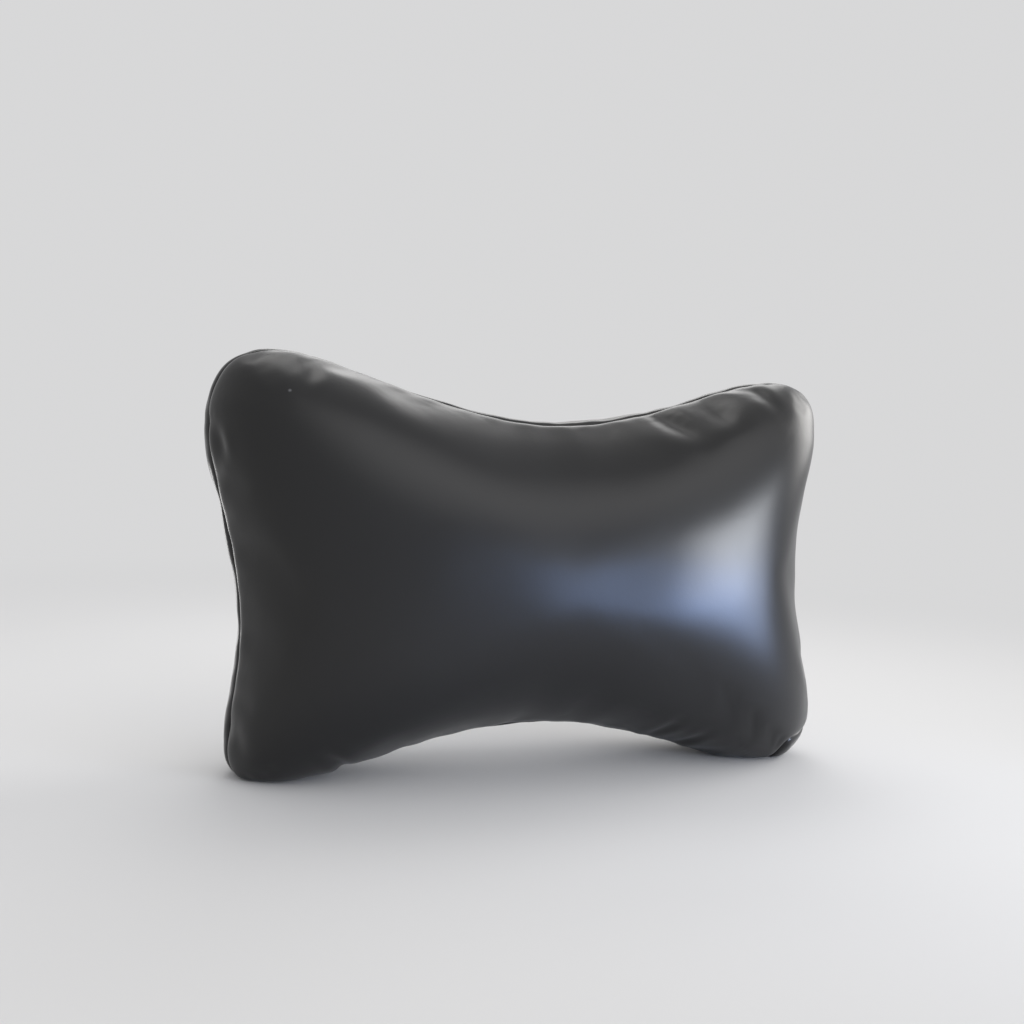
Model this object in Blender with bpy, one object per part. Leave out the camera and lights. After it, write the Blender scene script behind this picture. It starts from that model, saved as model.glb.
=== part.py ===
"""Bone-shaped car pillow, standing on its two lower lobes.

Metres. +Z is up, the front faces -Y, X runs along the pillow, and the origin is in the middle
of the footprint. The cover is two leatherette panels sewn together round the edge, with a
block of fibre inside and an elastic strap across the back for a seat's headrest.
"""

import math

import bpy
import numpy as np

# Driving dimensions: the face, seen from the front
LENGTH = 0.280
LOBE_HEIGHT = 0.177
WAIST_HEIGHT = 0.132
END_PINCH = 0.015
LEFT_PINCH_DROP = 0.030
RIGHT_PINCH_RISE = 0.015

# Driving dimensions: the thickness, and how the stuffed panels round off towards the edge
THICKNESS = 0.098
MIDDLE_SQUARENESS = 2.3
RIM_SQUARENESS = 7.0
CROWN_ALONG = 4.2
CROWN_ACROSS = 2.3

# Driving dimensions: the skin, the edge seam in its shallow valley, and the lobes' flat spots
PANEL_THICKNESS = 0.0012
CLEARANCE = 0.0003
SEAM_FORWARD = 0.006
SEAM_DEPTH = 0.0015
SEAM_TURN = 0.002
SEAM_ROOM = 0.0005
FLOOR_PRESS = 0.0035
MIDDLE_HEIGHT = LOBE_HEIGHT / 2 - FLOOR_PRESS

# Driving dimensions: the strap
STRAP_LENGTH = 0.200
STRAP_WIDTH = 0.030
STRAP_THICKNESS = 0.0015
STRAP_CLEARANCE = 0.0004
HEM_LENGTH = 0.022

# How finely the curved faces are cut
SIDES = 80
CORNER_CROWDING = 0.5
RINGS = 10
FILLING_RINGS = 9
STRAP_STATIONS = 44
STRAP_ROWS = 4
SOLVER_STEPS = 12

BLACK_LEATHERETTE = ((0.013, 0.013, 0.015), 0.33)
WHITE_FIBRE = ((0.82, 0.82, 0.80), 0.95)
BLACK_ELASTIC = ((0.020, 0.020, 0.022), 0.75)

HEM_LAYERS = 2
HEM_RAMP = 0.002
SLOPE_STEP = 0.0005


class Form:
    """A stuffed bone-shaped body, centred on its own middle, from four outside sizes.

    The rounded corners cut the lobes short, so the half sizes that the shape is worked out
    from are grown until the finished edge has the outside sizes.
    """

    def __init__(self, length, lobe_height, waist_height, thickness):
        self.half_length = length / 2
        self.half_height = lobe_height / 2
        self.half_thickness = thickness / 2
        self.size_shares(waist_height)
        for _ in range(SOLVER_STEPS):
            x, z = self.face_point(ring_angles(), 1)
            self.half_length *= length / (x.max() - x.min())
            self.half_height *= lobe_height / (z.max() - z.min())
            self.size_shares(waist_height)

    def size_shares(self, waist_height):
        self.waist_share = 1 - waist_height / 2 / self.half_height
        self.pinch_share = END_PINCH / self.half_length

    def waist_scale(self, along):
        """Height at a share of the half length, against the height of the lobes."""
        return 1 - self.waist_share * hollow(along)

    def end_scale(self, across, along):
        """Length at a share of the half height, against the length at the lobes' tips."""
        middle = (RIGHT_PINCH_RISE - LEFT_PINCH_DROP) / 2
        slant = (RIGHT_PINCH_RISE + LEFT_PINCH_DROP) / 2
        centre = (middle + slant * along) / self.half_height
        return 1 - self.pinch_share * hollow(across - centre)

    def face_point(self, angle, reach):
        """(x, z) at an angle round the middle. Reach is 0 at the middle and 1 at the edge."""
        spread = reach / square_radius(np.cos(angle), np.sin(angle), squareness(reach))
        along = spread * np.cos(angle)
        across = spread * np.sin(angle)
        x = self.half_length * along * self.end_scale(across, along)
        z = self.half_height * across * self.waist_scale(along)
        return x, z

    def depth(self, angle, reach):
        """How far the surface stands off the middle plane."""
        return self.half_thickness * np.sqrt(np.clip(1 - reach ** crown(angle), 0, 1))

    def depth_at(self, x, z):
        """The depth over a point of the face, found by repeated correction."""
        along = x / self.half_length
        across = z / self.half_height
        for _ in range(SOLVER_STEPS):
            along = x / (self.half_length * self.end_scale(across, along))
            across = z / (self.half_height * self.waist_scale(along))
        reach = np.hypot(along, across)
        for _ in range(SOLVER_STEPS):
            reach = square_radius(along, across, squareness(reach))
        return self.depth(np.arctan2(across, along), reach)


def hollow(share):
    """A smooth dip: 1 at the middle, 0 from one half size outwards."""
    return np.clip(1 - share ** 2, 0, 1) ** 2


def squareness(reach):
    """The face's rings turn from nearly round at the middle to square-cornered at the edge."""
    return MIDDLE_SQUARENESS + (RIM_SQUARENESS - MIDDLE_SQUARENESS) * np.clip(reach, 0, 1) ** 3


def square_radius(along, across, order):
    """Distance from the middle, as a superellipse of that order measures it."""
    return (np.abs(along) ** order + np.abs(across) ** order) ** (1 / order)


def crown(angle):
    """The faces stay full far along the pillow's length, and fall off sooner across it."""
    return CROWN_ACROSS + (CROWN_ALONG - CROWN_ACROSS) * np.cos(angle) ** 2


def ring_angles():
    """Angles round the middle, closer together at the four corners."""
    even = np.linspace(0, 2 * math.pi, SIDES, endpoint=False)
    return even + CORNER_CROWDING * np.sin(4 * even) / 4


def ring(form, turn, side):
    """One ring of a form.

    Turn is 0 at the middle of the face on that side, a right angle at the widest edge, and
    more than that beyond the edge.
    """
    angles = ring_angles()
    reach = math.sin(turn) ** (2 / crown(angles))
    x, z = form.face_point(angles, reach)
    y = np.full(SIDES, side * form.half_thickness * math.cos(turn))
    return np.stack([x, y, z], axis=1)


def inward(points):
    """Unit vectors in the plane of the face, from each point of a ring towards its inside."""
    step = np.roll(points, -1, axis=0) - np.roll(points, 1, axis=0)
    normal = np.stack([-step[:, 2], np.zeros(SIDES), step[:, 0]], axis=1)
    return normal / np.linalg.norm(normal, axis=1)[:, None]


def seam_ring(form, y):
    """The seam lies SEAM_DEPTH under the form's own surface, in front of the widest edge."""
    edge = ring(form, math.acos(y / form.half_thickness), 1)
    return edge + inward(edge) * SEAM_DEPTH


def flatten(points, floor):
    """Flattens what lies below a height over the floor, in points about the pillow's middle."""
    low = floor - MIDDLE_HEIGHT
    return np.stack([points[:, 0], points[:, 1], np.maximum(points[:, 2], low)], axis=1)


def shell_faces(rings, first_closed, last_closed):
    """Quads between rings that follow each other, and a fan at each end that is closed."""
    faces = []
    for row in range(rings - 1):
        for side in range(SIDES):
            after = (side + 1) % SIDES
            low = row * SIDES
            faces.append((low + side, low + SIDES + side, low + SIDES + after, low + after))
    centre = rings * SIDES
    if first_closed:
        faces += [(centre, side, (side + 1) % SIDES) for side in range(SIDES)]
        centre += 1
    if last_closed:
        last = (rings - 1) * SIDES
        faces += [(centre, last + (side + 1) % SIDES, last + side) for side in range(SIDES)]
    return faces


def material(name, look):
    colour, roughness = look
    made = bpy.data.materials.new(name)
    made.use_nodes = True
    shader = made.node_tree.nodes["Principled BSDF"]
    shader.inputs["Base Color"].default_value = (*colour, 1)
    shader.inputs["Roughness"].default_value = roughness
    shader.inputs["Metallic"].default_value = 0
    return made


def add_object(name, points, faces, look):
    mesh = bpy.data.meshes.new(name)
    mesh.from_pydata([tuple(point) for point in points], [], faces)
    mesh.validate()
    mesh.materials.append(material(name + "_finish", look))
    for polygon in mesh.polygons:
        polygon.use_smooth = True
    made = bpy.data.objects.new(name, mesh)
    bpy.context.scene.collection.objects.link(made)
    return made


def panel(name, form, side):
    """One panel of the cover: a bowl of even thickness, from the middle of a face to the seam."""
    seam_y = -SEAM_FORWARD + side * CLEARANCE / 2
    last_turn = math.acos((side * seam_y + SEAM_TURN) / form.half_thickness)
    count = round(RINGS * last_turn / (math.pi / 2))
    rings = [ring(form, last_turn * number / count, side) for number in range(1, count + 1)]
    rings.append(seam_ring(form, seam_y))
    centre = np.array([[0, side * form.half_thickness, 0]])
    points = flatten(np.concatenate(rings + [centre]), 0)
    faces = shell_faces(len(rings), True, False)
    if side > 0:
        faces = [face[::-1] for face in faces]
    made = add_object(name, points, faces, BLACK_LEATHERETTE)
    skin = made.modifiers.new("Skin", "SOLIDIFY")
    skin.thickness = PANEL_THICKNESS
    skin.offset = -1
    skin.use_rim = True
    return made


def filling(form):
    """The block of fibre, clear of both panels and of the seam's turned-in edges."""
    rings = []
    for number in range(1, FILLING_RINGS):
        rings.append(ring(form, math.pi / 2 * number / FILLING_RINGS, -1))
    rings.append(ring(form, math.pi / 2, -1))
    for number in range(FILLING_RINGS - 1, 0, -1):
        rings.append(ring(form, math.pi / 2 * number / FILLING_RINGS, 1))
    front = [[0, -form.half_thickness, 0]]
    back = [[0, form.half_thickness, 0]]
    points = flatten(np.concatenate(rings + [front, back]), PANEL_THICKNESS + CLEARANCE)
    return add_object("filling", points, shell_faces(len(rings), True, True), WHITE_FIBRE)


def strap_offset(x):
    """The strap's own thickness: it is folded double and sewn at each end."""
    inboard = STRAP_LENGTH / 2 - HEM_LENGTH - abs(x)
    folded = np.clip(-inboard / HEM_RAMP, 0, 1)
    return STRAP_THICKNESS * (1 + (HEM_LAYERS - 1) * folded)


def strap_point(form, x, z, lift):
    """A point at a height over the back panel, measured square to the panel."""
    y = form.depth_at(x, z)
    slope_x = (form.depth_at(x + SLOPE_STEP, z) - y) / SLOPE_STEP
    slope_z = (form.depth_at(x, z + SLOPE_STEP) - y) / SLOPE_STEP
    normal = np.array([-slope_x, 1, -slope_z])
    return np.array([x, y, z]) + normal / np.linalg.norm(normal) * lift


def strap(form):
    """A flat band that lies along the back panel at mid height."""
    points = []
    for station in np.linspace(-STRAP_LENGTH / 2, STRAP_LENGTH / 2, STRAP_STATIONS + 1):
        inner = []
        outer = []
        for z in np.linspace(-STRAP_WIDTH / 2, STRAP_WIDTH / 2, STRAP_ROWS + 1):
            inner.append(strap_point(form, station, z, STRAP_CLEARANCE))
            outer.append(strap_point(form, station, z, STRAP_CLEARANCE + strap_offset(station)))
        points += inner + outer[::-1]
    around = 2 * (STRAP_ROWS + 1)
    faces = []
    for station in range(STRAP_STATIONS):
        low = station * around
        for corner in range(around):
            after = (corner + 1) % around
            faces.append((low + corner, low + around + corner, low + around + after, low + after))
    last = STRAP_STATIONS * around
    for row in range(STRAP_ROWS):
        inner_next = row + 1
        outer_here = around - 1 - row
        outer_next = outer_here - 1
        faces.append((row, inner_next, outer_next, outer_here))
        faces.append((last + row, last + outer_here, last + outer_next, last + inner_next))
    return add_object("elastic_strap", points, faces, BLACK_ELASTIC)


def main():
    for old in list(bpy.data.objects):
        bpy.data.objects.remove(old, do_unlink=True)
    cover = Form(LENGTH, LOBE_HEIGHT, WAIST_HEIGHT, THICKNESS)
    skin = PANEL_THICKNESS + CLEARANCE
    edge_room = SEAM_DEPTH + SEAM_ROOM + skin
    core = Form(
        LENGTH - 2 * edge_room,
        LOBE_HEIGHT - 2 * edge_room,
        WAIST_HEIGHT - 2 * edge_room,
        THICKNESS - 2 * skin,
    )
    pieces = [
        panel("front_panel", cover, -1),
        panel("back_panel", cover, 1),
        filling(core),
        strap(cover),
    ]
    tips = cover.face_point(ring_angles(), 1)[0]
    sideways = (tips.max() + tips.min()) / 2
    backwards = (STRAP_CLEARANCE + STRAP_THICKNESS) / 2
    for piece in pieces:
        piece.location = (-sideways, -backwards, MIDDLE_HEIGHT)


main()
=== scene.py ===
"""Looks for the bone-shaped car pillow: its sewn leatherette cover, the stuffing and the strap.

Metres, in the frame of the solid model: +Z is up, the front faces -Y and X runs along the pillow.
"""

import math

import bpy
import numpy as np
from mathutils import Matrix, Vector, noise
from mathutils.bvhtree import BVHTree
from mathutils.kdtree import KDTree


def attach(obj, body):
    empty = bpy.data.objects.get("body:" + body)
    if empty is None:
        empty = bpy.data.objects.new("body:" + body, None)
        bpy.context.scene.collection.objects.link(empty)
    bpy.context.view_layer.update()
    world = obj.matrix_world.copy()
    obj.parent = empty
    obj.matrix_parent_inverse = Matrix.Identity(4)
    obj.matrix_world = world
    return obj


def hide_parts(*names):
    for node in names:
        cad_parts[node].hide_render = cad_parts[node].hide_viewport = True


# The form, as in the solid model
LENGTH = 0.280
LOBE_HEIGHT = 0.177
WAIST_HEIGHT = 0.132
END_PINCH = 0.015
LEFT_PINCH_DROP = 0.030
RIGHT_PINCH_RISE = 0.015
THICKNESS = 0.098
MIDDLE_SQUARENESS = 2.3
RIM_SQUARENESS = 7.0
CROWN_ALONG = 4.2
CROWN_ACROSS = 2.3
FLOOR_PRESS = 0.0035
MIDDLE_HEIGHT = LOBE_HEIGHT / 2 - FLOOR_PRESS
OUTLINE_STEPS = 240
SOLVER_STEPS = 12

# The seam: how far in front of the widest edge it runs, and how it wanders, less at the ends
SEAM_FORWARD = 0.006
SEAM_WANDER = 0.0052
SEAM_WAVES = 4
SEAM_WANDER_AT_ENDS = 0.35
CORNER_FORWARD = 0.021
CORNER_ANGLE = math.radians(-43)
CORNER_SPREAD_ABOVE = math.radians(6)
CORNER_SPREAD_BELOW = math.radians(6.5)

# The seam's valley between the panels, the lips beside it and the puckers across it
SEAM_SINK = 0.0015
SEAM_REACH = 0.0012
LIP_RISE = 0.0005
LIP_REACH = 0.0034
PUCKER_RISE = 0.00035
PUCKER_PITCH = 0.011
PUCKER_REACH = 0.009
TUCK_REACH = 0.006

# The grid of each panel, and the skin made from it
GRID_ALONG = 56
GRID_UP = 36
GRID_CROWDING = 1.2
MERIDIAN_SAMPLES = 48
MERIDIAN_CROWDING = 2
COVER_SMOOTHING = 2
COVER_THICKNESS = 0.0008
FLOOR_SOFTNESS = 0.0012

# The cover's cloth while the stuffing presses it out
CLOTH_QUALITY = 6
CLOTH_MASS = 0.3
CLOTH_STRETCH_STIFFNESS = 30
CLOTH_SHEAR_STIFFNESS = 15
CLOTH_BEND_STIFFNESS = 4
FABRIC_EXCESS = 0.014
STUFFING_PRESSURE = 4.0
LAST_FRAME = 20
MOST_SWELL = 0.004
SWELL_SMOOTHING = 60
WRINKLE_START = 0.25

# The stuffing: its lumps under the cover, and how far inside it lies
LUMP_RISE = 0.0009
LUMP_SIZE = 0.045
FILLING_INSET = 0.004
FILLING_SMOOTHING = 1

# Folds pressed into the front panel: start and end as (x, z), width and depth
FRONT_FOLDS = (
    ((0.046, 0.1545), (0.065, 0.1490), 0.0046, 0.0013),
    ((0.070, 0.1555), (0.084, 0.1580), 0.0040, 0.0007),
    ((0.098, 0.1720), (0.104, 0.1600), 0.0036, 0.0007),
    ((-0.1378, 0.1430), (-0.1345, 0.1290), 0.0017, 0.0010),
    ((-0.0990, 0.1680), (-0.1060, 0.1600), 0.0030, 0.0006),
    ((-0.0790, 0.0040), (-0.0935, 0.0150), 0.0026, 0.0012),
    ((-0.1330, 0.0400), (-0.1240, 0.0080), 0.0036, 0.0008),
    ((0.0560, 0.0120), (0.0600, 0.0240), 0.0026, 0.0009),
    ((0.0700, 0.0060), (0.0760, 0.0170), 0.0026, 0.0008),
    ((0.1320, 0.0400), (0.1200, 0.0560), 0.0034, 0.0005),
)

# Pull lines in the back panel: four round the strap's sewn ends, three above and two below it
BACK_FOLDS = (
    ((-0.1010, 0.0960), (-0.1200, 0.1060), 0.0036, 0.0006),
    ((-0.1020, 0.0840), (-0.1210, 0.0800), 0.0036, 0.0005),
    ((0.1010, 0.0980), (0.1180, 0.1110), 0.0036, 0.0006),
    ((0.1020, 0.0830), (0.1220, 0.0760), 0.0036, 0.0006),
    ((-0.0480, 0.1560), (-0.0700, 0.1290), 0.0048, 0.0006),
    ((0.0290, 0.1510), (0.0400, 0.1210), 0.0050, 0.0004),
    ((0.0620, 0.1600), (0.0860, 0.1360), 0.0048, 0.0007),
    ((-0.0480, 0.0150), (-0.0660, 0.0380), 0.0048, 0.0006),
    ((0.0540, 0.0120), (0.0760, 0.0350), 0.0048, 0.0006),
)

# A fold is shallow at its ends, and the cloth stands up in a soft ridge on both sides of it
FOLD_TIP = 0.15
RIDGE_SHARE = 0.3
RIDGE_PLACE = 1.8

# Tucks where the seam is drawn in: (x, z), radius and depth
SEAM_TUCKS = (
    ((-0.1390, 0.1440), 0.0035, 0.0009),
    ((-0.1010, 0.1700), 0.0030, 0.0009),
    ((-0.0807, 0.0020), 0.0030, 0.0030),
    ((-0.0560, 0.0110), 0.0040, 0.0012),
    ((0.1091, 0.1725), 0.0035, 0.0008),
    ((0.0670, 0.0070), 0.0040, 0.0009),
)

# Where the strap's sewn ends draw the back panel in
DIMPLE_PLACE = 0.088
DIMPLE_RADIUS = 0.017
DIMPLE_DEPTH = 0.0016

# The strap, as in the solid model
STRAP_LENGTH = 0.200
STRAP_WIDTH = 0.030
STRAP_THICKNESS = 0.0015
STRAP_CLEARANCE = 0.0004
HEM_LENGTH = 0.022
HEM_RAMP = 0.002
STRAP_SHIFT = (STRAP_CLEARANCE + STRAP_THICKNESS) / 2

# The strap's mesh: how square its long edges are, and the width over which it follows the panel
STRAP_STATIONS = 160
STRAP_ROWS = 16
STRAP_EDGE_SQUARENESS = 6
PANEL_STEP = 0.004

# The stitches at the strap's ends
STITCH_LENGTH = 0.0026
STITCH_GAP = 0.0007
STITCH_RADIUS = 0.00034
STITCH_INSET = 0.003
STITCH_SIDES = 6

# Rings along a stitch: share of its length, height over the strap and width, both in radii
STITCH_RINGS = (
    (0, -0.9, 0.8),
    (0.12, 0.1, 1),
    (0.5, 0.45, 1.05),
    (0.88, 0.1, 1),
    (1, -0.9, 0.8),
)

# Black imitation leather, with a speck of dust on the upper left lobe at (x, z)
LEATHER_COLOUR = (0.0105, 0.0103, 0.0105)
LEATHER_ROUGHNESS = (0.26, 0.36)
SPECK_PLACE = (-0.1117, 0.1570)
SPECK_RADIUS = 0.0010
SPECK_COLOUR = (0.110, 0.110, 0.114)

# White fibre, black elastic with painted shade in its valleys and painted light on its ribs, and
# black thread
FIBRE_COLOUR = (0.82, 0.82, 0.80)
ELASTIC_COLOUR = (0.020, 0.020, 0.022)
VALLEY_SHADE_COLOUR = (0.010, 0.010, 0.011)
RIB_LIGHT_COLOUR = (0.034, 0.034, 0.037)
THREAD_COLOUR = (0.050, 0.050, 0.053)

# The camera, fitted to the photograph: the pillow's middle as right, forward and up from it
FOCAL_PIXELS = 1200
FRAME_PIXELS = 1024
SENSOR_WIDTH = 36
NEAREST_SEEN = 0.01
PILLOW_MIDDLE = (0, -STRAP_SHIFT, MIDDLE_HEIGHT)
CAMERA_OFFSET = Vector((0.0080, 0.5253, -0.0258))
CAMERA_YAW = math.radians(19.49)
CAMERA_PITCH = math.radians(3.90)
CAMERA_ROLL = math.radians(2.82)

# The backdrop: paler behind the pillow, changing between two values of a direction's Y
BEHIND_COLOUR = (0.685, 0.685, 0.69)
BEFORE_COLOUR = (0.60, 0.60, 0.605)
BEFORE_END = -0.9
BEHIND_START = 0.5

# The floor, which fades into the backdrop between two distances from the pillow's middle
FLOOR_COLOUR = (0.70, 0.70, 0.705)
FLOOR_RADIUS = 20.0
FLOOR_SIDES = 64
FADE_START = 0.20
FADE_END = 0.80

# The lamps' colours
DAY_WHITE = (0.92, 0.95, 1.0)
DUSK_BLUE = (0.36, 0.54, 1.0)
SOFT_WHITE = (1.0, 0.99, 0.98)
CREAM_WHITE = (1.0, 0.99, 0.97)
WARM_WHITE = (1.0, 0.985, 0.96)

# Rays to the cover start this far off
RAY_START = 0.3

# Keeps a division from having nothing to divide by
TINY = 1e-12


class Form:
    """The stuffed body about its own middle, worked out from its outside sizes."""

    def __init__(self, length, lobe_height, waist_height, thickness):
        self.half_length = length / 2
        self.half_height = lobe_height / 2
        self.half_thickness = thickness / 2
        angles = np.linspace(0, 2 * math.pi, OUTLINE_STEPS, endpoint=False)
        self.size_shares(waist_height)
        for _ in range(SOLVER_STEPS):
            x, z = self.face_point(angles, 1)
            self.half_length *= length / (x.max() - x.min())
            self.half_height *= lobe_height / (z.max() - z.min())
            self.size_shares(waist_height)
        x, z = self.face_point(angles, 1)
        self.sideways = (x.max() + x.min()) / 2

    def size_shares(self, waist_height):
        """How much the waist and the ends are drawn in, as shares of the half sizes."""
        self.waist_share = 1 - waist_height / 2 / self.half_height
        self.pinch_share = END_PINCH / self.half_length

    def waist_scale(self, along):
        """What is left of the height at a place along the pillow."""
        return 1 - self.waist_share * hollow(along)

    def end_scale(self, across, along):
        """What is left of the length at a height, with a hollow in each end."""
        middle = (RIGHT_PINCH_RISE - LEFT_PINCH_DROP) / 2
        slant = (RIGHT_PINCH_RISE + LEFT_PINCH_DROP) / 2
        centre = (middle + slant * along) / self.half_height
        return 1 - self.pinch_share * hollow(across - centre)

    def face_point(self, angle, reach):
        """(x, z) at an angle round the middle. Reach is 0 at the middle and 1 at the edge."""
        spread = reach / square_radius(np.cos(angle), np.sin(angle), squareness(reach))
        along = spread * np.cos(angle)
        across = spread * np.sin(angle)
        x = self.half_length * along * self.end_scale(across, along)
        z = self.half_height * across * self.waist_scale(along)
        return x, z


def hollow(share):
    """1 in the middle of a hollow, easing to 0 one half size away."""
    return np.clip(1 - share ** 2, 0, 1) ** 2


def squareness(reach):
    """The outline's order: nearly round in the middle of a face, and squarer at its rim."""
    return MIDDLE_SQUARENESS + (RIM_SQUARENESS - MIDDLE_SQUARENESS) * np.clip(reach, 0, 1) ** 3


def square_radius(along, across, order):
    return (np.abs(along) ** order + np.abs(across) ** order) ** (1 / order)


def crown(angle):
    """How flat a face stays before it rounds over: flatter along the pillow than across it."""
    return CROWN_ACROSS + (CROWN_ALONG - CROWN_ACROSS) * np.cos(angle) ** 2


def seam_depth(angle):
    """The seam's y: it lies further forward at the waist, and under the lower right lobe."""
    share = SEAM_WANDER_AT_ENDS + (1 - SEAM_WANDER_AT_ENDS) * np.sin(angle) ** 2
    wander = SEAM_WANDER * np.cos(SEAM_WAVES * angle) * share
    spread = np.where(angle > CORNER_ANGLE, CORNER_SPREAD_ABOVE, CORNER_SPREAD_BELOW)
    corner = np.exp(-((angle - CORNER_ANGLE) / spread) ** 2)
    return -SEAM_FORWARD - wander - CORNER_FORWARD * corner


def meridians(form, angles, side):
    """Rows of points from the middle of a face to the seam, one row for each angle."""
    last_turn = np.arccos(side * seam_depth(angles) / form.half_thickness)
    shares = np.linspace(0, 1, MERIDIAN_SAMPLES + 1) ** MERIDIAN_CROWDING
    turn = last_turn[:, None] * shares
    angle = angles[:, None]
    x, z = form.face_point(angle, np.sin(turn) ** (2 / crown(angle)))
    y = side * form.half_thickness * np.cos(turn)
    return np.stack([x, y, z], axis=2)


def at_shares(rows, shares):
    """The point at a share of the length of each row."""
    steps = np.linalg.norm(np.diff(rows, axis=1), axis=2)
    lengths = np.concatenate([np.zeros((len(rows), 1)), np.cumsum(steps, axis=1)], axis=1)
    wanted = shares * lengths[:, -1]
    column = np.clip((lengths < wanted[:, None]).sum(axis=1), 1, MERIDIAN_SAMPLES)
    row = np.arange(len(rows))
    low = lengths[row, column - 1]
    part = (wanted - low) / np.maximum(lengths[row, column] - low, TINY)
    start = rows[row, column - 1]
    return start + part[:, None] * (rows[row, column] - start)


# The grid of each panel


def grid_steps():
    return np.meshgrid(np.linspace(-1, 1, GRID_ALONG + 1), np.linspace(-1, 1, GRID_UP + 1))


def grid_share():
    """How far each grid point lies from the face's middle, where the seam is 1."""
    along, up = grid_steps()
    even = np.maximum(np.abs(along), np.abs(up)).ravel()
    return 1 - (1 - even) ** GRID_CROWDING


def face_grid(form, side):
    """A square grid of points over one face, closer together towards its middle."""
    along, up = grid_steps()
    angles = np.arctan2(up, along).ravel()
    points = at_shares(meridians(form, angles, side), grid_share())
    return points + np.array([-form.sideways, -STRAP_SHIFT, MIDDLE_HEIGHT])


def grid_border():
    """True for each point of a face's grid that lies on the seam."""
    rows, columns = np.indices((GRID_UP + 1, GRID_ALONG + 1))
    edge = (rows == 0) | (rows == GRID_UP) | (columns == 0) | (columns == GRID_ALONG)
    return edge.ravel()


def grid_quads():
    """The grid's faces, turned so that the front's normals point forwards."""
    quads = []
    width = GRID_ALONG + 1
    for row in range(GRID_UP):
        for column in range(GRID_ALONG):
            low = row * width + column
            quads.append((low, low + 1, low + width + 1, low + width))
    return quads


def sewn_together(front, back):
    """Both faces as one closed body: its points, its faces, and where each back point went."""
    border = grid_border()
    count = len(front)
    back_index = np.where(border, np.arange(count), count + np.cumsum(~border) - 1)
    quads = grid_quads()
    faces = quads + [tuple(int(back_index[corner]) for corner in reversed(quad)) for quad in quads]
    return np.concatenate([front, back[~border]]), faces, back_index


def tube_faces(base, rings, around):
    """The faces of a capped tube, whose rings turn right-handed about the way that it runs."""
    faces = []
    for ring in range(rings - 1):
        low = base + ring * around
        for corner in range(around):
            after = (corner + 1) % around
            faces.append((low + corner, low + after, low + around + after, low + around + corner))
    last = base + (rings - 1) * around
    faces.append(tuple(base + corner for corner in reversed(range(around))))
    faces.append(tuple(last + corner for corner in range(around)))
    return faces


# Meshes


def add_mesh(name, points, faces):
    mesh = bpy.data.meshes.new(name)
    mesh.from_pydata(np.asarray(points).tolist(), [], faces)
    mesh.validate()
    mesh.shade_smooth()
    made = bpy.data.objects.new(name, mesh)
    bpy.context.scene.collection.objects.link(made)
    return made


def read_vectors(mesh, kind):
    """One vector for each point of the mesh: its place for co, and its normal for normal."""
    flat = np.empty(len(mesh.vertices) * 3)
    mesh.vertices.foreach_get(kind, flat)
    return flat.reshape(-1, 3)


def set_points(mesh, points):
    mesh.vertices.foreach_set("co", np.asarray(points).ravel())
    mesh.update()


def unit(vectors):
    return vectors / np.maximum(np.linalg.norm(vectors, axis=-1, keepdims=True), TINY)


def evaluated_mesh(thing):
    graph = bpy.context.evaluated_depsgraph_get()
    return bpy.data.meshes.new_from_object(thing.evaluated_get(graph))


def apply_modifiers(thing):
    mesh = evaluated_mesh(thing)
    thing.modifiers.clear()
    thing.data = mesh


def subdivide(thing, levels):
    smooth = thing.modifiers.new("Smooth", "SUBSURF")
    smooth.levels = levels
    smooth.render_levels = levels
    apply_modifiers(thing)


# The cover


def add_cloth(cushion):
    """Cloth that is a little too large for its frame, pressed out from inside."""
    cloth = cushion.modifiers.new("Cloth", "CLOTH")
    settings = cloth.settings
    settings.quality = CLOTH_QUALITY
    settings.mass = CLOTH_MASS
    settings.tension_stiffness = CLOTH_STRETCH_STIFFNESS
    settings.compression_stiffness = CLOTH_STRETCH_STIFFNESS
    settings.shear_stiffness = CLOTH_SHEAR_STIFFNESS
    settings.bending_stiffness = CLOTH_BEND_STIFFNESS
    settings.use_pressure = True
    settings.uniform_pressure_force = STUFFING_PRESSURE
    settings.shrink_min = -FABRIC_EXCESS
    settings.vertex_group_mass = "sewn"
    settings.effector_weights.gravity = 0
    cloth.collision_settings.use_collision = False


def inflate(front, back):
    """Both faces after the stuffing has pressed them out, with the seam held where it is sewn."""
    points, faces, back_index = sewn_together(front, back)
    cushion = add_mesh("cushion_cloth", points, faces)
    sewn = cushion.vertex_groups.new(name="sewn")
    sewn.add([int(index) for index in np.flatnonzero(grid_border())], 1, "REPLACE")
    add_cloth(cushion)
    for frame_number in range(1, LAST_FRAME + 1):
        bpy.context.scene.frame_set(frame_number)
    move = read_vectors(evaluated_mesh(cushion), "co") - points
    bpy.data.objects.remove(cushion)
    bpy.context.scene.frame_set(1)
    return front + settled(move[:len(front)]), back + settled(move[back_index])


def eased(share):
    """0 to 1, with a soft start and end."""
    return share * share * (3 - 2 * share)


def settled(move):
    """A face's movement, capped, and with its wrinkles kept only towards the seam."""
    size = np.linalg.norm(move, axis=1, keepdims=True)
    move = move * MOST_SWELL / (size + MOST_SWELL)
    rows = move.reshape(GRID_UP + 1, GRID_ALONG + 1, 3)
    smooth = rows.copy()
    for _ in range(SWELL_SMOOTHING):
        inner = smooth[:-2, 1:-1] + smooth[2:, 1:-1] + smooth[1:-1, :-2] + smooth[1:-1, 2:]
        smooth[1:-1, 1:-1] = inner / 4
    share = grid_share().reshape(GRID_UP + 1, GRID_ALONG + 1, 1)
    wrinkled = eased(np.clip((share - WRINKLE_START) / (1 - WRINKLE_START), 0, 1))
    return (smooth + (rows - smooth) * wrinkled).reshape(-1, 3)


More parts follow.
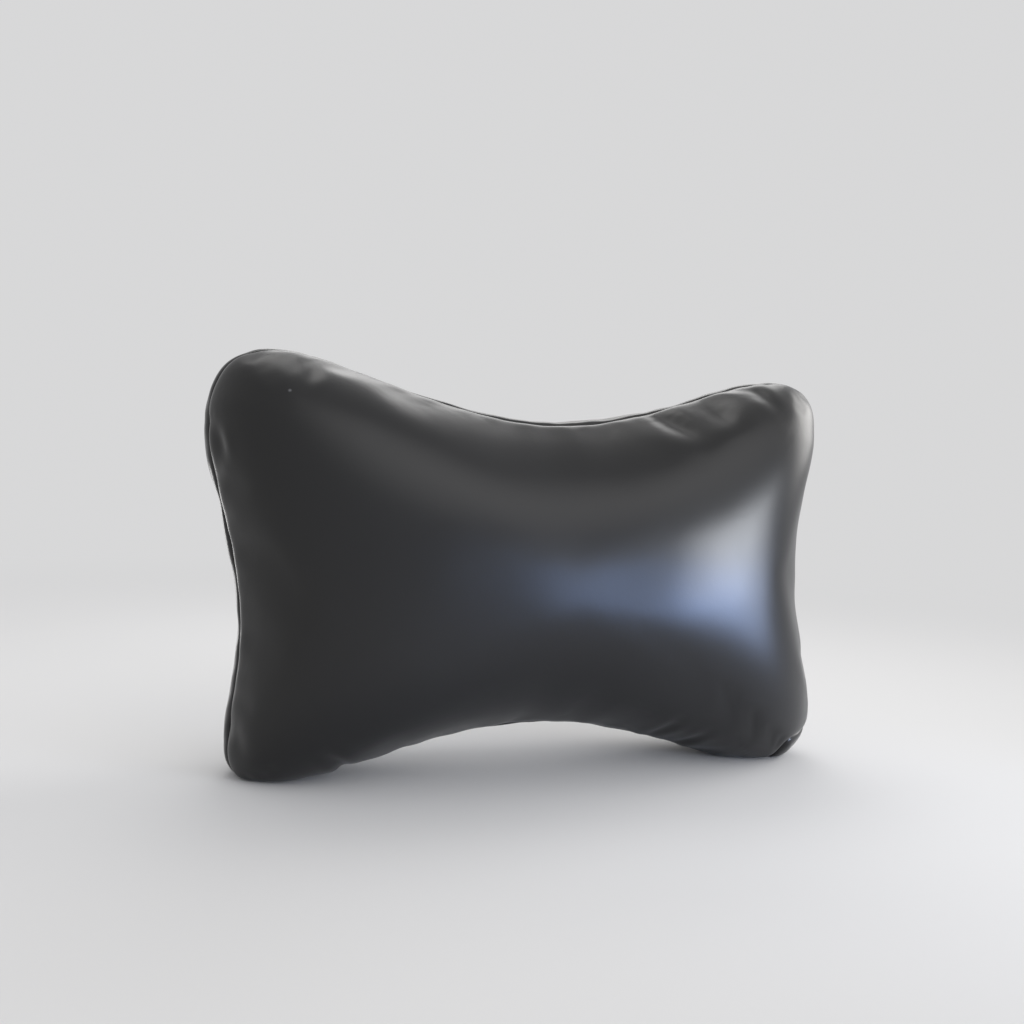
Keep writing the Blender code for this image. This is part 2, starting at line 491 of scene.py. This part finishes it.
def cover_mesh(name, points, turned):
    """One panel of the cover as a fine open mesh."""
    quads = grid_quads()
    if turned:
        quads = [quad[::-1] for quad in quads]
    panel = add_mesh(name, points, quads)
    subdivide(panel, COVER_SMOOTHING)
    return panel


def seam_loop(mesh):
    """The indices of the mesh's open edge, in order round it."""
    used = {}
    for polygon in mesh.polygons:
        for key in polygon.edge_keys:
            used[key] = used.get(key, 0) + 1
    after = {}
    for (one, other), times in used.items():
        if times == 1:
            after.setdefault(one, []).append(other)
            after.setdefault(other, []).append(one)
    first = min(after)
    loop = [first]
    here, before = after[first][0], first
    while here != first:
        loop.append(here)
        ahead = [point for point in after[here] if point != before]
        before, here = here, ahead[0]
    return loop


def tree_of(points):
    tree = KDTree(len(points))
    for index, point in enumerate(points):
        tree.insert(point, index)
    tree.balance()
    return tree


def seam_relation(points, loop):
    """Each point's distance from the seam, its nearest seam point and place, and the way round."""
    seam = points[loop]
    steps = np.linalg.norm(np.roll(seam, -1, axis=0) - seam, axis=1)
    place = np.concatenate([[0], np.cumsum(steps)[:-1]])
    tree = tree_of(seam)
    found = [tree.find(point) for point in points]
    nearest = np.array([index for _, index, _ in found])
    distance = np.array([gap for _, _, gap in found])
    return distance, nearest, place[nearest], steps.sum()


def ring_noise(place, around, pitch, seed):
    """Smooth noise along the seam that closes on itself."""
    knots = max(int(round(around / pitch)), 3)
    values = np.random.default_rng(seed).uniform(-1, 1, knots)
    spot = place / around * knots
    low = np.floor(spot).astype(int) % knots
    ease = eased(spot - np.floor(spot))
    return values[low] * (1 - ease) + values[(low + 1) % knots] * ease


def lumps(points):
    """The stuffing's soft unevenness under the cover."""
    return np.array([noise.noise(Vector(point) / LUMP_SIZE) for point in points])


def swelling(distance, reach):
    """A rounded rise that is 0 at the seam and 1 at its reach, and dies away beyond."""
    share = distance / reach
    return share * np.exp(1 - share)


def fold_depth(points, folds):
    """How far the folds press each point in, fading out towards both ends of each fold."""
    place = points[:, [0, 2]]
    total = np.zeros(len(points))
    for start, end, width, depth in folds:
        start, end = np.array(start), np.array(end)
        run = end - start
        share = np.clip((place - start) @ run / (run @ run), 0, 1)
        gap = np.linalg.norm(place - start - share[:, None] * run, axis=1) / width
        fade = np.sin(math.pi * (FOLD_TIP + (1 - 2 * FOLD_TIP) * share)) ** 2
        ridge = RIDGE_SHARE * np.exp(-(gap - RIDGE_PLACE) ** 2)
        total += depth * fade * (np.exp(-gap ** 2) - ridge)
    return total


def dent(points, centre, radius, depth):
    """How far a round dent at (x, z) presses each point in."""
    gap = np.linalg.norm(points[:, [0, 2]] - np.array(centre), axis=1) / radius
    return depth * np.exp(-gap ** 2)


def tuck_depth(seam_points):
    """How far each seam point is drawn in by the tucks."""
    return sum(dent(seam_points, *tuck) for tuck in SEAM_TUCKS)


def dimple_depth(points):
    """How far the strap's sewn ends draw each point of the back panel in."""
    centres = [(side * DIMPLE_PLACE, MIDDLE_HEIGHT) for side in (-1, 1)]
    return sum(dent(points, centre, DIMPLE_RADIUS, DIMPLE_DEPTH) for centre in centres)


def finish_covers(front, back):
    """Works the seam's valley and puckers, the lumps, folds, tucks and dimples into both panels."""
    panels = [front, back]
    loops = [seam_loop(panel.data) for panel in panels]
    shapes = [read_vectors(panel.data, "co") for panel in panels]
    normals = [read_vectors(panel.data, "normal") for panel in panels]
    seam_trees = [tree_of(shape[loop]) for shape, loop in zip(shapes, loops)]
    finished = []
    for own in (0, 1):
        other = 1 - own
        shape, loop = shapes[own], loops[own]
        distance, nearest, place, around = seam_relation(shape, loop)
        mates = [seam_trees[other].find(point)[1] for point in shape[loop]]
        joint = unit(normals[own][loop] + normals[other][loops[other]][mates])
        near = np.exp(-distance / SEAM_REACH)
        share = near[:, None]
        direction = unit(normals[own] * (1 - share) + joint[nearest] * share)
        pucker = ring_noise(place, around, PUCKER_PITCH, own) * swelling(distance, PUCKER_REACH)
        rise = LIP_RISE * swelling(distance, LIP_REACH) - SEAM_SINK * near
        rise += PUCKER_RISE * pucker
        rise += LUMP_RISE * lumps(shape) * (1 - np.exp(-distance / LUMP_SIZE))
        rise -= tuck_depth(shape[loop])[nearest] * np.exp(-distance / TUCK_REACH)
        if panels[own] is front:
            rise -= fold_depth(shape, FRONT_FOLDS) * (1 - near)
        else:
            rise -= dimple_depth(shape) + fold_depth(shape, BACK_FOLDS)
        finished.append(shape + direction * rise[:, None])
    for panel, points in zip(panels, finished):
        set_points(panel.data, rest_on_floor(points))


def rest_on_floor(points):
    """Presses what would sink into the floor flat against it, with a soft edge."""
    z = points[:, 2]
    pressed = (z + np.sqrt(z ** 2 + FLOOR_SOFTNESS ** 2)) / 2
    return np.stack([points[:, 0], points[:, 1], pressed], axis=1)


def thicken(panel):
    """Gives a panel its thickness, inwards."""
    skin = panel.modifiers.new("Skin", "SOLIDIFY")
    skin.thickness = COVER_THICKNESS
    skin.offset = -1
    skin.use_rim = True
    apply_modifiers(panel)


# The stuffing, the strap and the stitches


def make_filling(front, back):
    """The stuffing: one closed lumpy body inside the cover."""
    points, faces, _ = sewn_together(front, back)
    middle = np.array(PILLOW_MIDDLE)
    half_sizes = np.abs(points - middle).max(axis=0)
    inside = middle + (points - middle) * (1 - FILLING_INSET / half_sizes)
    filling = add_mesh("fibre_filling", inside, faces)
    subdivide(filling, FILLING_SMOOTHING)
    return filling


def surface_finder(thing):
    mesh = thing.data
    points = [Vector(point) for point in read_vectors(mesh, "co")]
    return BVHTree.FromPolygons(points, [tuple(polygon.vertices) for polygon in mesh.polygons])


def front_spot(tree, x, z):
    """The point of the cover's front, found by a ray from in front."""
    return tree.ray_cast(Vector((x, -RAY_START, z)), Vector((0, 1, 0)))[0]


def back_spot(tree, x, z):
    """The point and normal of the cover's back, found by a ray from behind."""
    point, normal, _, _ = tree.ray_cast(Vector((x, RAY_START, z)), Vector((0, -1, 0)))
    return point, normal


def strap_normal(tree, x, z):
    """The cover's normal round a spot, smoothed over part of the strap's width."""
    total = Vector((0, 0, 0))
    for step_x in (-PANEL_STEP, 0, PANEL_STEP):
        for step_z in (-PANEL_STEP, 0, PANEL_STEP):
            total += back_spot(tree, x + step_x, z + step_z)[1]
    return total.normalized()


def strap_layers(x):
    """1 along the strap and 2 at its hems, with a short ramp between."""
    inboard = STRAP_LENGTH / 2 - HEM_LENGTH - abs(x)
    return 1 + np.clip(-inboard / HEM_RAMP, 0, 1)


def strap_ring(tree, x, sideways):
    """The strap's cross-section at one place: over its outer side, and back along the panel."""
    inner = []
    outer = []
    thickness = STRAP_THICKNESS * strap_layers(x)
    middle = STRAP_CLEARANCE + thickness / 2
    for row in range(STRAP_ROWS + 1):
        share = -math.cos(math.pi * row / STRAP_ROWS)
        z = MIDDLE_HEIGHT + STRAP_WIDTH / 2 * share
        spot, _ = back_spot(tree, x - sideways, z)
        normal = strap_normal(tree, x - sideways, z)
        half = thickness / 2 * (1 - abs(share) ** STRAP_EDGE_SQUARENESS) ** 0.5
        inner.append(spot + normal * (middle - half))
        outer.append(spot + normal * (middle + half))
    return outer + inner[-2:0:-1]


def make_strap(tree, sideways):
    """The elastic band, laid on the back panel, thinner at its long edges and double at its hems."""
    points = []
    for station in range(STRAP_STATIONS + 1):
        points += strap_ring(tree, STRAP_LENGTH * (station / STRAP_STATIONS - 0.5), sideways)
    return add_mesh("elastic_band", points, tube_faces(0, STRAP_STATIONS + 1, 2 * STRAP_ROWS))


def stitch_lines():
    """Start and end, in (x, z) about the strap's middle, of each sewn line: a box with a cross."""
    lines = []
    low = -STRAP_WIDTH / 2 + STITCH_INSET
    high = STRAP_WIDTH / 2 - STITCH_INSET
    for side in (-1, 1):
        tip = side * (STRAP_LENGTH / 2 - STITCH_INSET)
        root = side * (STRAP_LENGTH / 2 - HEM_LENGTH + STITCH_INSET)
        corners = [(tip, low), (tip, high), (root, high), (root, low)]
        for index, corner in enumerate(corners):
            lines.append((corner, corners[(index + 1) % len(corners)]))
        lines.append((corners[0], corners[2]))
        lines.append((corners[1], corners[3]))
    return lines


def add_stitch(points, faces, start, end, normal):
    """One thread lying on the strap, with both ends going down into it."""
    along = (end - start).normalized()
    side = normal.cross(along).normalized()
    faces += tube_faces(len(points), len(STITCH_RINGS), STITCH_SIDES)
    for share, height, width in STITCH_RINGS:
        centre = start.lerp(end, share) + normal * STITCH_RADIUS * height
        reach = STITCH_RADIUS * width
        for corner in range(STITCH_SIDES):
            turn = 2 * math.pi * corner / STITCH_SIDES
            points.append(centre + side * math.cos(turn) * reach + normal * math.sin(turn) * reach)


def make_stitches(tree, strap_tree, sideways):
    """The thread at both ends of the strap, as separate stitches."""
    points = []
    faces = []
    for start, end in stitch_lines():
        length = math.dist(start, end)
        count = max(int(length / (STITCH_LENGTH + STITCH_GAP)), 1)
        pitch = length / count
        for number in range(count):
            ends = []
            for place in (number * pitch + STITCH_GAP / 2, (number + 1) * pitch - STITCH_GAP / 2):
                share = place / length
                x = start[0] + (end[0] - start[0]) * share - sideways
                z = start[1] + (end[1] - start[1]) * share + MIDDLE_HEIGHT
                ends.append(back_spot(strap_tree, x, z)[0])
            middle = (ends[0] + ends[1]) / 2
            add_stitch(points, faces, ends[0], ends[1], strap_normal(tree, middle.x, middle.z))
    return add_mesh("strap_stitches", points, faces)


# Materials


def new_material(name, colour, roughness):
    made = bpy.data.materials.new(name)
    made.use_nodes = True
    shader = made.node_tree.nodes["Principled BSDF"]
    shader.inputs["Base Color"].default_value = (*colour, 1)
    shader.inputs["Roughness"].default_value = roughness
    return made, made.node_tree, shader


def add_node(tree, kind, **values):
    """A node with its named inputs set."""
    node = tree.nodes.new(kind)
    for name, value in values.items():
        node.inputs[name].default_value = value
    return node


def add_texture(tree, kind, place, **values):
    """A texture node that is read at a place on the object."""
    node = add_node(tree, kind, **values)
    tree.links.new(place, node.inputs["Vector"])
    return node


def add_bump(tree, shader, height, strength, distance):
    """Raises the surface by a height, to a distance in metres at most."""
    bump = add_node(tree, "ShaderNodeBump", Strength=strength, Distance=distance)
    tree.links.new(height, bump.inputs["Height"])
    tree.links.new(bump.outputs["Normal"], shader.inputs["Normal"])


def object_place(tree):
    return tree.nodes.new("ShaderNodeTexCoord").outputs["Object"]


def between(tree, factor, low, high):
    """A value between two numbers, by a factor from 0 to 1."""
    node = tree.nodes.new("ShaderNodeMapRange")
    node.inputs["To Min"].default_value = low
    node.inputs["To Max"].default_value = high
    tree.links.new(factor, node.inputs["Value"])
    return node.outputs["Result"]


def smooth_step(tree, value, start, end):
    """A value that goes from 0 to 1 as another goes from start to end."""
    node = tree.nodes.new("ShaderNodeMapRange")
    node.interpolation_type = "SMOOTHSTEP"
    node.inputs["From Min"].default_value = start
    node.inputs["From Max"].default_value = end
    tree.links.new(value, node.inputs["Value"])
    return node.outputs["Result"]


def mixed_colour(tree, factor, first, second):
    """The first colour where the factor is 0, and the second where it is 1."""
    node = tree.nodes.new("ShaderNodeMix")
    node.data_type = "RGBA"
    node.inputs["A"].default_value = (*first, 1)
    node.inputs["B"].default_value = (*second, 1)
    tree.links.new(factor, node.inputs["Factor"])
    return node.outputs["Result"]


def weighted_sum(tree, main, extra, weight):
    """The main value, plus the extra one times its weight."""
    node = tree.nodes.new("ShaderNodeMath")
    node.operation = "MULTIPLY_ADD"
    tree.links.new(extra, node.inputs[0])
    node.inputs[1].default_value = weight
    tree.links.new(main, node.inputs[2])
    return node.outputs[0]


def distance_from(tree, place, spot):
    """How far a place on the object is from a fixed spot."""
    node = tree.nodes.new("ShaderNodeVectorMath")
    node.operation = "DISTANCE"
    tree.links.new(place, node.inputs[0])
    node.inputs[1].default_value = spot
    return node.outputs["Value"]


def leatherette_material(speck):
    """Smooth black imitation leather: a fine pebble grain, uneven polish and a speck of dust."""
    middle_roughness = sum(LEATHER_ROUGHNESS) / 2
    made, tree, shader = new_material("leatherette", LEATHER_COLOUR, roughness=middle_roughness)
    shader.inputs["IOR"].default_value = 1.43
    shader.inputs["Sheen Weight"].default_value = 0.05
    shader.inputs["Sheen Roughness"].default_value = 0.25
    place = object_place(tree)
    pebbles = add_texture(tree, "ShaderNodeTexVoronoi", place, Scale=1500.0, Randomness=1.0)
    pebbles.feature = "SMOOTH_F1"
    pores = add_texture(tree, "ShaderNodeTexNoise", place, Scale=520.0, Detail=3.0, Roughness=0.6)
    grain = weighted_sum(tree, pores.outputs["Fac"], pebbles.outputs["Distance"], weight=0.6)
    add_bump(tree, shader, grain, strength=0.40, distance=0.00004)
    cloud = add_texture(tree, "ShaderNodeTexNoise", place, Scale=38.0, Detail=4.0, Roughness=0.55)
    polish = between(tree, cloud.outputs["Fac"], *LEATHER_ROUGHNESS)
    tree.links.new(polish, shader.inputs["Roughness"])
    clean = smooth_step(tree, distance_from(tree, place, speck), 0, SPECK_RADIUS)
    tones = mixed_colour(tree, clean, SPECK_COLOUR, LEATHER_COLOUR)
    tree.links.new(tones, shader.inputs["Base Color"])
    return made


def fibre_material():
    """White polyester fibre."""
    made, tree, shader = new_material("fibre", FIBRE_COLOUR, roughness=0.95)
    place = object_place(tree)
    strands = add_texture(tree, "ShaderNodeTexNoise", place, Scale=600.0, Detail=6.0, Distortion=1.5)
    add_bump(tree, shader, strands.outputs["Fac"], strength=0.6, distance=0.0005)
    shader.inputs["Sheen Weight"].default_value = 0.3
    return made


def ridges(tree, place, direction, scale):
    """Slightly uneven parallel ridges that follow each other in a direction."""
    node = add_texture(tree, "ShaderNodeTexWave", place, Scale=scale, Distortion=0.4, Detail=1.0)
    node.wave_type = "BANDS"
    node.bands_direction = direction
    return node.outputs["Fac"]


def elastic_material():
    """Black woven elastic: ribs along the band, crossed by fine weft threads, with painted shade in
    the weave's valleys and painted light on its ribs.
    """
    made, tree, shader = new_material("elastic", ELASTIC_COLOUR, roughness=0.72)
    place = object_place(tree)
    ribs = ridges(tree, place, "Z", scale=260.0)
    weft = ridges(tree, place, "X", scale=360.0)
    weave = weighted_sum(tree, ribs, weft, weight=0.45)
    add_bump(tree, shader, weave, strength=0.9, distance=0.00025)
    # The colour follows the weave's height: painted shade in its valleys and painted light on its
    # ribs.
    tree.links.new(mixed_colour(tree, weave, VALLEY_SHADE_COLOUR, RIB_LIGHT_COLOUR), shader.inputs["Base Color"])
    shader.inputs["Sheen Weight"].default_value = 0.25
    return made


def thread_material():
    """Black polyester thread with its twist."""
    made, tree, shader = new_material("thread", THREAD_COLOUR, roughness=0.5)
    twist = ridges(tree, object_place(tree), "DIAGONAL", scale=2600.0)
    add_bump(tree, shader, twist, strength=0.6, distance=0.00005)
    return made


def dress(piece, finish):
    piece.data.materials.clear()
    piece.data.materials.append(finish)
    piece.data.shade_smooth()
    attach(piece, "root")


# The studio


def backdrop_colour(tree, place):
    """The backdrop's colour in a direction: a little dimmer in front of the pillow than behind."""
    direction = tree.nodes.new("ShaderNodeVectorMath")
    direction.operation = "NORMALIZE"
    tree.links.new(place, direction.inputs[0])
    parts = tree.nodes.new("ShaderNodeSeparateXYZ")
    tree.links.new(direction.outputs["Vector"], parts.inputs["Vector"])
    behind = smooth_step(tree, parts.outputs["Y"], BEFORE_END, BEHIND_START)
    return mixed_colour(tree, behind, BEFORE_COLOUR, BEHIND_COLOUR)


def floor_material():
    """Pale floor that fades into the pale backdrop before its far edge."""
    made, tree, shader = new_material("floor", FLOOR_COLOUR, roughness=0.9)
    shader.inputs["Specular IOR Level"].default_value = 0.2
    place = object_place(tree)
    fade = smooth_step(tree, distance_from(tree, place, (0, 0, 0)), FADE_START, FADE_END)
    glow = add_node(tree, "ShaderNodeEmission", Strength=1.0)
    tree.links.new(backdrop_colour(tree, place), glow.inputs["Color"])
    mixed = tree.nodes.new("ShaderNodeMixShader")
    tree.links.new(fade, mixed.inputs["Fac"])
    tree.links.new(shader.outputs["BSDF"], mixed.inputs[1])
    tree.links.new(glow.outputs["Emission"], mixed.inputs[2])
    tree.links.new(mixed.outputs["Shader"], tree.nodes["Material Output"].inputs["Surface"])
    return made


def make_floor():
    """A wide round floor under the pillow."""
    corners = []
    for number in range(FLOOR_SIDES):
        turn = 2 * math.pi * number / FLOOR_SIDES
        corners.append((FLOOR_RADIUS * math.cos(turn), FLOOR_RADIUS * math.sin(turn), 0))
    floor = add_mesh("floor", corners, [tuple(range(FLOOR_SIDES))])
    floor.data.materials.append(floor_material())


def make_world():
    """The backdrop all round, which also lights the pillow."""
    world = bpy.data.worlds.new("studio")
    bpy.context.scene.world = world
    world.use_nodes = True
    tree = world.node_tree
    tree.nodes.clear()
    sky = add_node(tree, "ShaderNodeBackground", Strength=1.0)
    place = tree.nodes.new("ShaderNodeTexCoord").outputs["Generated"]
    tree.links.new(backdrop_colour(tree, place), sky.inputs["Color"])
    output = tree.nodes.new("ShaderNodeOutputWorld")
    tree.links.new(sky.outputs["Background"], output.inputs["Surface"])


def add_softbox(name, turn, rise, away, size, beam, brightness, colour):
    """A rectangular lamp that faces the pillow, with a grid that keeps its light off the floor.

    Turn is in degrees to the right of straight in front, rise in degrees over the middle, and
    beam in degrees across. Brightness is what the pillow sees, where white paper in full light is 1.
    """
    light = bpy.data.lights.new(name, "AREA")
    light.shape = "RECTANGLE"
    light.size, light.size_y = size
    half_beam = math.radians(beam / 2)
    gathering = math.tan(half_beam) / (math.tan(half_beam) - half_beam)
    light.energy = brightness * math.pi * size[0] * size[1] / gathering
    light.color = colour
    light.spread = 2 * half_beam
    box = bpy.data.objects.new(name, light)
    bpy.context.scene.collection.objects.link(box)
    level = math.cos(math.radians(rise))
    side = math.sin(math.radians(turn)) * level
    front = math.cos(math.radians(turn)) * level
    outward = Vector((side, -front, math.sin(math.radians(rise))))
    box.location = Vector((0, 0, MIDDLE_HEIGHT)) + outward * away
    box.rotation_euler = outward.to_track_quat("Z", "Y").to_euler()
    box.visible_camera = False


def make_lights():
    """The lamp that the face mirrors, a bluer one below it, and soft ones for the rims."""
    add_softbox("key", turn=47, rise=2, away=0.62, size=(0.27, 0.18),
                beam=44, brightness=27.0, colour=DAY_WHITE)
    add_softbox("low_key", turn=42, rise=-8, away=0.40, size=(0.30, 0.07),
                beam=48, brightness=28.0, colour=DUSK_BLUE)
    add_softbox("fill", turn=26, rise=40, away=1.9, size=(3.0, 1.5),
                beam=70, brightness=1.6, colour=SOFT_WHITE)
    add_softbox("top", turn=-170, rise=66, away=1.3, size=(0.7, 0.5),
                beam=70, brightness=2.5, colour=CREAM_WHITE)
    add_softbox("back_right", turn=158, rise=38, away=1.2, size=(0.9, 0.45),
                beam=70, brightness=3.3, colour=SOFT_WHITE)
    add_softbox("right", turn=102, rise=20, away=1.5, size=(1.20, 0.90),
                beam=56, brightness=7.0, colour=WARM_WHITE)
    add_softbox("left_low", turn=-152, rise=-7, away=0.42, size=(0.30, 0.07),
                beam=48, brightness=5.0, colour=SOFT_WHITE)


def make_camera():
    """The photograph's camera."""
    yaw = Matrix.Rotation(CAMERA_YAW, 3, "Z")
    pitch = Matrix.Rotation(CAMERA_PITCH, 3, "X")
    roll = Matrix.Rotation(CAMERA_ROLL, 3, "Y")
    to_camera = roll @ pitch @ yaw
    right, forward, up = to_camera
    place = Vector(PILLOW_MIDDLE) - to_camera.transposed() @ CAMERA_OFFSET
    data = bpy.data.cameras.new("camera")
    data.sensor_width = SENSOR_WIDTH
    data.lens = SENSOR_WIDTH * FOCAL_PIXELS / FRAME_PIXELS
    data.clip_start = NEAREST_SEEN
    camera = bpy.data.objects.new("camera", data)
    bpy.context.scene.collection.objects.link(camera)
    camera.matrix_world = Matrix((
        (right.x, up.x, -forward.x, place.x),
        (right.y, up.y, -forward.y, place.y),
        (right.z, up.z, -forward.z, place.z),
        (0, 0, 0, 1),
    ))
    bpy.context.scene.camera = camera


# The whole pillow


def make_pillow():
    """The two covers, the stuffing, the strap and its stitches, dressed and in their places."""
    form = Form(LENGTH, LOBE_HEIGHT, WAIST_HEIGHT, THICKNESS)
    front = face_grid(form, -1)
    back = face_grid(form, 1)
    front, back = inflate(front, back)

    front_cover = cover_mesh("front_cover", front, False)
    back_cover = cover_mesh("back_cover", back, True)
    finish_covers(front_cover, back_cover)
    filling = make_filling(front, back)
    speck = front_spot(surface_finder(front_cover), *SPECK_PLACE)
    back_tree = surface_finder(back_cover)
    strap = make_strap(back_tree, form.sideways)
    stitches = make_stitches(back_tree, surface_finder(strap), form.sideways)
    thicken(front_cover)
    thicken(back_cover)

    leatherette = leatherette_material(speck)
    dress(front_cover, leatherette)
    dress(back_cover, leatherette)
    dress(filling, fibre_material())
    dress(strap, elastic_material())
    dress(stitches, thread_material())
    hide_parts("front_panel")
    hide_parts("back_panel")
    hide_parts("filling")
    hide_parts("elastic_strap")


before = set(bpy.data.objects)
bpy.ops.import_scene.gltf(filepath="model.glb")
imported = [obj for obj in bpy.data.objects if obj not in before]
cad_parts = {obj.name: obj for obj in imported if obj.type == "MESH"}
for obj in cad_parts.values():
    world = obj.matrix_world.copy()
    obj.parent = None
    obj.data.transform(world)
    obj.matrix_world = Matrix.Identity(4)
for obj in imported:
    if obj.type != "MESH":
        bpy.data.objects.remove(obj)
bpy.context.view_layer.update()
make_pillow()
make_floor()
make_world()
make_lights()
make_camera()
bpy.context.scene.view_settings.view_transform = "Standard"
